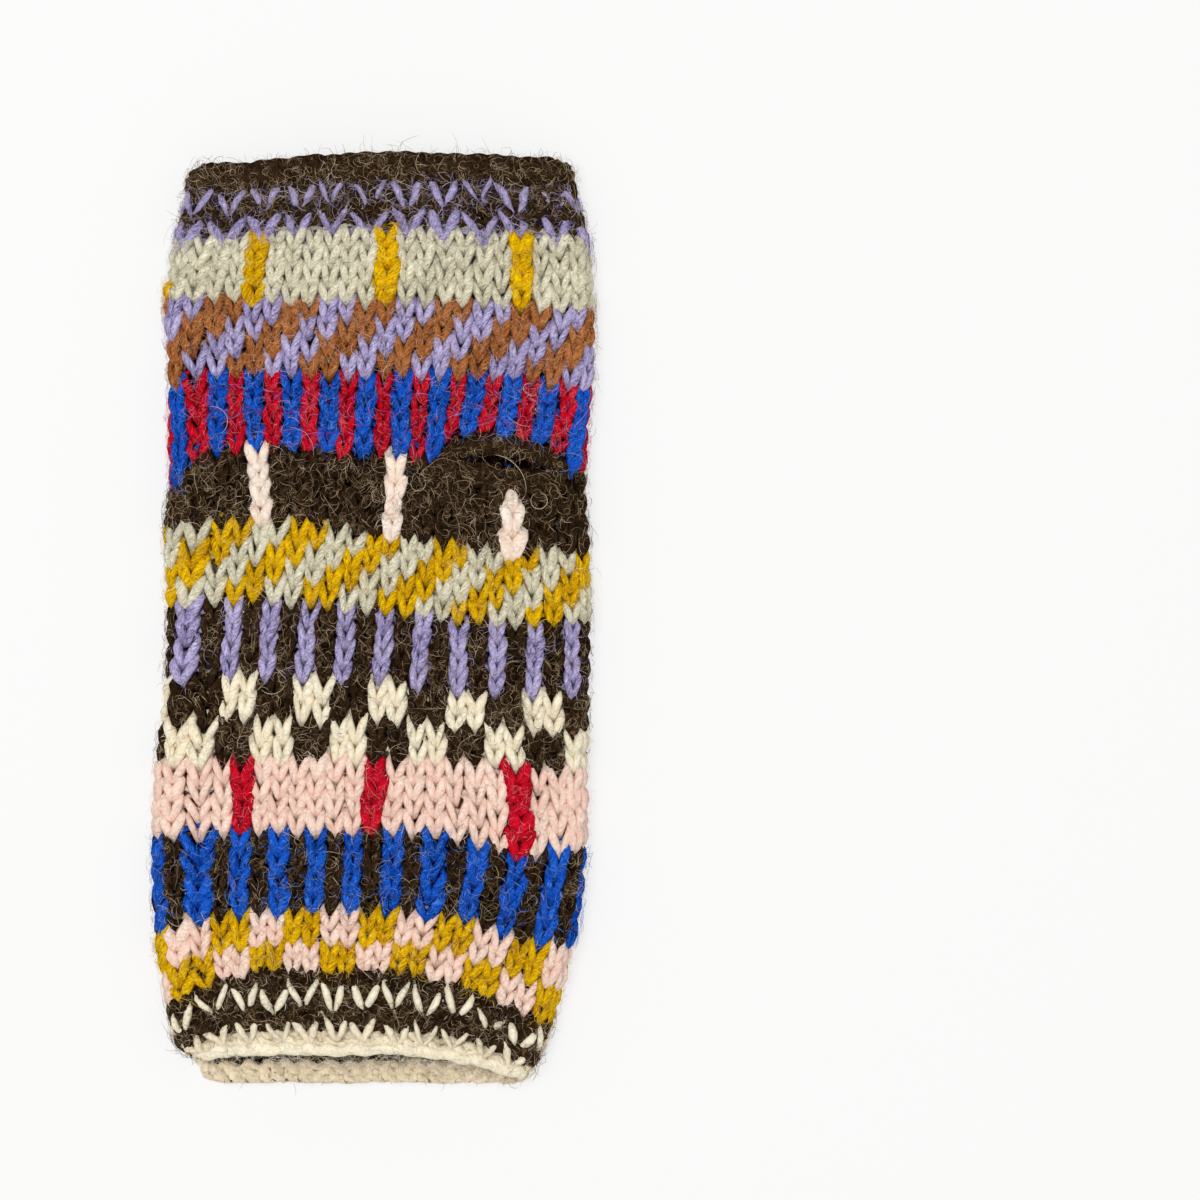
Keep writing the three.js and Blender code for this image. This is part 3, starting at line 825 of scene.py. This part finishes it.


# Fibres along the strand in a slow twist, mottled, with painted shade darkening it down its sides, curly
# stray fibres and dark flecks of painted shade in the dips between its fibres.
def makeWoolGroup():
    look = woolLook
    inputs = {"Dark": "Color", "Light": "Color", "Stray": "Color", "Fleck": "Color",
              "Strays": "Float", "Flecks": "Float"}
    outputs = {"Colour": "Color", "Relief": "Float"}
    group, given, result, shade, place = startGroup("woolStrand", inputs, outputs)
    uvMap = group.nodes.new("ShaderNodeUVMap")
    uvMap.uv_map = "strand"
    uv = group.nodes.new("ShaderNodeSeparateXYZ")
    group.links.new(uvMap.outputs["UV"], uv.inputs["Vector"])
    along, turn = uv.outputs["X"], uv.outputs["Y"]
    twisted = addMath(group, "MULTIPLY_ADD", along, look["twist"], turn)
    lengthwise = group.nodes.new("ShaderNodeCombineXYZ")
    group.links.new(addMath(group, "MULTIPLY", along, look["streak"]["along"]), lengthwise.inputs["X"])
    group.links.new(addMath(group, "MULTIPLY", twisted, look["streak"]["round"]), lengthwise.inputs["Y"])
    streak = addNoise(group, lengthwise.outputs["Vector"], *look["streak"]["noise"])
    ply = addMath(group, "SINE", addMath(group, "MULTIPLY", twisted, 4 * math.pi), 0.0)
    # Painted shade down the strand's sides, off its crest.
    offCrest = addMath(group, "ABSOLUTE", addMath(group, "SUBTRACT", turn, 0.5), 0.0)
    side = addRange(group, offCrest, *look["side"])
    mottle = addNoise(group, place, *look["mottle"])
    patch = addNoise(group, place, *look["patch"])
    level = addMath(group, "MULTIPLY", mottle, look["mix"]["mottle"])
    for part, value in {"streak": streak, "ply": ply, "shade": shade, "patch": patch, "side": side}.items():
        level = addMath(group, "MULTIPLY_ADD", value, look["mix"][part], level)
    spread = addRange(group, level, *look["darkToLight"])
    strays = addLines(group, place, look["strays"])
    broken = addMath(group, "MULTIPLY", strays, addRange(group, patch, *look["strayPatch"]))
    # Painted shade: dark flecks, in each yarn's fleck tone, in the relief's dips between fibres.
    dips = addLines(group, place, look["pits"])
    pits = addMath(group, "MULTIPLY", dips, addRange(group, mottle, *look["pitMottle"]))
    woven = addMix(group, spread, given["Dark"], given["Light"])
    flecked = addMath(group, "MULTIPLY", pits, given["Flecks"], clamp=True)
    loose = addMath(group, "MULTIPLY", broken, given["Strays"], clamp=True)
    pitted = addMix(group, flecked, woven, given["Fleck"])
    group.links.new(addMix(group, loose, pitted, given["Stray"]), result["Colour"])
    height = streak
    for part, value in {"strays": broken, "mottle": mottle, "pits": pits}.items():
        height = addMath(group, "MULTIPLY_ADD", value, look["relief"][part], height)
    group.links.new(height, result["Relief"])
    return group


fibreLook = {"noise": (160.0, 1.0, 0.5), "range": (0.35, 0.65), "drift": (-0.12, 0.12), "darkness": 1.5}


# Each loose fibre keeps its own tone and drifts slowly off it, and more of them are dark than light.
def makeFibreGroup():
    inputs = {"Dark": "Color", "Light": "Color"}
    group, given, result, shade, place = startGroup("looseFibre", inputs, {"Colour": "Color"})
    slow = addNoise(group, place, *fibreLook["noise"])
    offTone = addRange(group, slow, *fibreLook["range"], *fibreLook["drift"])
    own = addMath(group, "POWER", shade, fibreLook["darkness"])
    spread = addMath(group, "ADD", own, offTone, clamp=True)
    group.links.new(addMix(group, spread, given["Dark"], given["Light"]), result["Colour"])
    return group


woolGroup = makeWoolGroup()
fibreGroup = makeFibreGroup()
dull = {"Roughness": 0.95, "Specular IOR Level": 0.03}
reliefHeight = 0.45  # mm


def newMaterial(name, look):
    material = bpy.data.materials.new(name)
    material.use_nodes = True
    setInputs(material.node_tree.nodes["Principled BSDF"], look)
    return material, material.node_tree.nodes, material.node_tree.links


def fibreMaterial(name, dark, light):
    material, nodes, links = newMaterial(name, dull)
    fibre = nodes.new("ShaderNodeGroup")
    fibre.node_tree = fibreGroup
    setInputs(fibre, {"Dark": tone(*dark), "Light": tone(*light)})
    links.new(fibre.outputs["Colour"], nodes["Principled BSDF"].inputs["Base Color"])
    return material


def woolMaterial(name, facts):
    material, nodes, links = newMaterial(name, dull)
    shader = nodes["Principled BSDF"]
    strand = nodes.new("ShaderNodeGroup")
    strand.node_tree = woolGroup
    setInputs(strand, {key.title(): tone(*facts[key]) for key in ("dark", "light", "stray", "fleck")})
    setInputs(strand, {"Strays": facts["strays"], "Flecks": facts["flecks"]})
    links.new(strand.outputs["Colour"], shader.inputs["Base Color"])
    bump = nodes.new("ShaderNodeBump")
    setInputs(bump, {"Strength": 1.0, "Distance": reliefHeight * mm})
    links.new(strand.outputs["Relief"], bump.inputs["Height"])
    links.new(bump.outputs["Normal"], shader.inputs["Normal"])
    return material


# Kinds of loose fibre, pointed at both ends, in mm. longer is how their lengths spread, bend how tightly
# they curl, flyaway the share that stands off, and rise how far.
fibreColumns = "points radius shortest longer bend flyaway rise"
fibreRows = {
    "fuzz": (4, 0.036, 0.7, 0.42, 0.8, 0.08, 0.8),
    "haze": (5, 0.04, 1.5, 0.5, 0.8, 0.04, 0.6),
    "wisps": (7, 0.038, 2.2, 0.6, 0.55, 0.06, 0.8),
    "curls": (8, 0.034, 1.5, 0.8, 0.9, 0.03, 0.6),
    "threads": (14, 0.042, 4.0, 1.0, 0.35, 0.02, 0.8),
}
fibres = {kind: dict(zip(fibreColumns.split(), row)) for kind, row in fibreRows.items()}
fibreSides = 3
# How they grow: few underneath, start off their spot, wander, arch, sink at the root, stand off and taper.
growth = {
    "under": {"facing": -0.3, "height": 1.0, "share": 0.12},
    "lengths": 3.5,  # the higher, the more alike
    "off": 0.9,
    "wander": 0.15,
    "arch": (0.15, 0.65),
    "archPower": 0.7,
    "sink": 0.12,
    "stand": (0.3, 1.0),
    "standPower": 1.4,
    "lowest": 0.1,
    "taper": 0.3,
    "thickness": (0.7, 1.25),
}


def spinFibres(middles, radii):
    count, steps = middles.shape[:2]
    along = unit(np.gradient(middles, axis=1)[:, 1:-1])
    side = unit(np.cross(along, rng.normal(0, 1, (count, 1, 3))))
    up = np.cross(side, along)
    angle = 2 * math.pi * np.arange(fibreSides) / fibreSides
    ring = side[:, :, None] * np.cos(angle)[:, None] + up[:, :, None] * np.sin(angle)[:, None]
    rings = (middles[:, 1:-1, None] + ring * radii[:, :, None, None]).reshape(count, -1, 3)
    points = np.concatenate([rings, middles[:, :1], middles[:, -1:]], axis=1)
    index = np.arange(points.shape[0] * points.shape[1]).reshape(count, -1)
    rows = index[:, :-2].reshape(count, steps - 2, fibreSides)
    here, ahead = rows[:, :-1], rows[:, 1:]
    quads = joinRings(here, ahead)
    first, last = rows[:, 0], rows[:, -1]
    root = np.broadcast_to(index[:, -2:-1], first.shape)
    tip = np.broadcast_to(index[:, -1:], last.shape)
    caps = [np.stack([root, np.roll(first, -1, axis=1), first], axis=-1),
            np.stack([tip, last, np.roll(last, -1, axis=1)], axis=-1)]
    return {
        "points": points.reshape(-1, 3),
        "quads": quads.reshape(-1, 4),
        "uv": rng.uniform(0, uvStarts, (quads.size // 4, 2)).repeat(4, axis=0).reshape(-1, 2),
        "shade": np.repeat(rng.uniform(0, 1, count), points.shape[1]),
        "caps": np.concatenate(caps).reshape(-1, 3),
    }


# grounds are lists of points, normals and weights.
def growFibres(fibre, count, grounds):
    points, normals, weight = (np.concatenate(column) for column in zip(*grounds))
    under = growth["under"]
    hidden = (normals[:, 2] < under["facing"]) | (points[:, 2] < under["height"])
    weight = weight * np.where(hidden, under["share"], 1.0)
    chosen = rng.choice(len(points), count, p=weight / weight.sum())
    base, normal = points[chosen], normals[chosen]
    first = unit(np.cross(normal, rng.normal(0, 1, (count, 3))))
    second = np.cross(normal, first)
    steps = fibre["points"]
    step = (rng.gamma(growth["lengths"], fibre["longer"], count) + fibre["shortest"]) / (steps - 1)
    bend = rng.normal(0, fibre["bend"], count)
    heading = np.zeros(count)
    off = growth["off"]
    flat = first * rng.uniform(-off, off, (count, 1)) + second * rng.uniform(-off, off, (count, 1))
    line = [flat]
    for _ in range(1, steps):
        heading = heading + bend * step + rng.normal(0, growth["wander"], count)
        flat = flat + (first * np.cos(heading)[:, None] + second * np.sin(heading)[:, None]) * step[:, None]
        line.append(flat)
    share = np.linspace(0, 1, steps)
    arch = rng.uniform(*growth["arch"], (count, 1)) * np.sin(math.pi * share) ** growth["archPower"]
    stands = rng.uniform(0, 1, (count, 1)) < fibre["flyaway"]
    rise = rng.uniform(*growth["stand"], (count, 1)) * fibre["rise"] * share ** growth["standPower"]
    height = arch - growth["sink"] + stands * rise
    middles = base[:, None] + np.stack(line, axis=1) + normal[:, None] * height[..., None]
    middles[..., 2] = np.maximum(middles[..., 2], growth["lowest"])
    taper = np.sin(math.pi * share[1:-1]) ** growth["taper"]
    radii = fibre["radius"] * rng.uniform(*growth["thickness"], (count, 1)) * taper
    return spinFibres(middles, radii)


nodesOf = {  # the solids that a yarn's stitches stand for
    "darkBrown": ("finger_edge", "thumb_rim", "wrist_welt"),
    "lilac": ("finger_welt",),
    "sage": ("hand_tube",),
    "cream": ("wrist_hem",),
}


def dressYarn(yarn, facts):
    wool = woolMaterial(yarn + "Wool", facts)
    meshPiece(yarn + "Stitches", strands[yarn], wool, nodesOf.get(yarn, ()))
    fuzz = [growFibres(fibres[kind], count, spots[yarn]) for kind, count in facts["hairs"].items()]
    fibreWool = fibreMaterial(yarn + "Fibre", facts["fuzzDark"], facts["fuzzLight"])
    meshPiece(yarn + "Fuzz", fuzz, fibreWool)


for yarn, facts in yarns.items():
    dressYarn(yarn, facts)

# Hairs that have worked loose and lie over these yarns, or where none is named, on the wrist opening's lip.
shed = named("name fibre count dark light over", [
    ("shedDark", "fuzz", 1500, (18, 10, 4), (84, 62, 42), ("lilac", "sage", "gold", "rust", "cream")),
    ("shedTan", "threads", 260, (140, 114, 84), (236, 214, 182),
     ("darkBrown", "lilac", "sage", "gold", "rust", "red")),
    ("mouthFluff", "haze", 700, (150, 130, 104), (255, 250, 238), ()),
    ("brownDown", "haze", 2900, (66, 52, 38), (226, 204, 176), ("darkBrown",)),
])
for kind in shed:
    grounds = [spot for yarn in kind["over"] for spot in spots[yarn]] or mouth
    hairs = growFibres(fibres[kind["fibre"]], kind["count"], grounds)
    wool = fibreMaterial(kind["name"] + "Hair", kind["dark"], kind["light"])
    meshPiece(kind["name"], [hairs], wool)

# Single long hairs that lie loose on top, each an arc. Places in mm, heading and turn in degrees.
looseHairs = named("x y height heading turn length", [
    (26.0, 35.3, 13.4, -2, -92, 12.5),
    (36.9, 27.0, 12.4, 180, 350, 11.0),
    (-24.3, -15.8, 12.6, -50, 120, 6.5),
    (-30.2, -73.3, 12.8, -96, 30, 7.5),
    (8.9, 29.9, 12.7, -120, 250, 7.0),
    (-36.0, 45.5, 12.4, 20, -160, 9.0),
    (2.0, -49.0, 12.8, 100, 140, 8.0),
])
looseShape = {"steps": 22, "radius": 0.06, "arch": 0.3, "taper": 0.4, "dark": (206, 184, 154),
              "light": (250, 236, 212)}


def layHair(hair):
    steps = looseShape["steps"]
    share = np.linspace(0, 1, steps)
    angle = np.radians(hair["heading"] + hair["turn"] * share)
    hop = hair["length"] / (steps - 1)
    x = hair["x"] + np.cumsum(np.cos(angle)) * hop
    y = hair["y"] + np.cumsum(np.sin(angle)) * hop
    z = hair["height"] + looseShape["arch"] * np.sin(math.pi * share)
    radii = looseShape["radius"] * np.sin(math.pi * share[None, 1:-1]) ** looseShape["taper"]
    return spinFibres(np.stack([x, y, z], axis=-1)[None], radii)


looseWool = fibreMaterial("looseHair", looseShape["dark"], looseShape["light"])
meshPiece("looseHairs", [layHair(hair) for hair in looseHairs], looseWool)
print("yarns coloured and fibres grown")

# The table top that it lies on.
table = {
    "size": 3.0,
    "look": {"Base Color": (0.25, 0.25, 0.246, 1), "Roughness": 0.9, "Specular IOR Level": 0.1,
             "Emission Color": (1, 1, 1, 1), "Emission Strength": 0.655},
}
h = table["size"] / 2
tableMesh = bpy.data.meshes.new("tableTop")
tableMesh.from_pydata([(-h, -h, 0), (h, -h, 0), (h, h, 0), (-h, h, 0)], [], [(0, 1, 2, 3)])
tableMesh.materials.append(newMaterial("tablePaper", table["look"])[0])
addObject("tableTop", tableMesh)

# Light from above, soft all round.
studio = {"world": 0.62, "power": 16.6, "size": 0.9, "place": (-0.2, 0.15, 1.55), "aim": (0.03, 0, 0)}
world = bpy.data.worlds.new("studio")
world.use_nodes = True
setInputs(world.node_tree.nodes["Background"], {"Color": (1, 1, 1, 1), "Strength": studio["world"]})
bpy.context.scene.world = world
lightData = bpy.data.lights.new("keyLight", "AREA")
lightData.shape = "DISK"
lightData.size = studio["size"]
lightData.energy = studio["power"]
light = addObject("keyLight", lightData)
light.location = studio["place"]
light.rotation_mode = "QUATERNION"
direction = Vector(studio["aim"]) - Vector(studio["place"])
light.rotation_quaternion = direction.to_track_quat("-Z", "Y")

# The camera looks straight down. frameWidth is what it takes in across, at the height of the knitting.
shot = {"aim": (0.04994, 0.00351), "height": 1.5, "planeHeight": 0.006, "frameWidth": 0.2634, "sensor": 36}
cameraData = bpy.data.cameras.new("camera")
cameraData.sensor_width = shot["sensor"]
cameraData.lens = shot["sensor"] * (shot["height"] - shot["planeHeight"]) / shot["frameWidth"]
cameraData.clip_end = 10
camera = addObject("camera", cameraData)
camera.location = (*shot["aim"], shot["height"])
bpy.context.scene.camera = camera
bpy.context.scene.view_settings.view_transform = "Standard"
print("studio set")
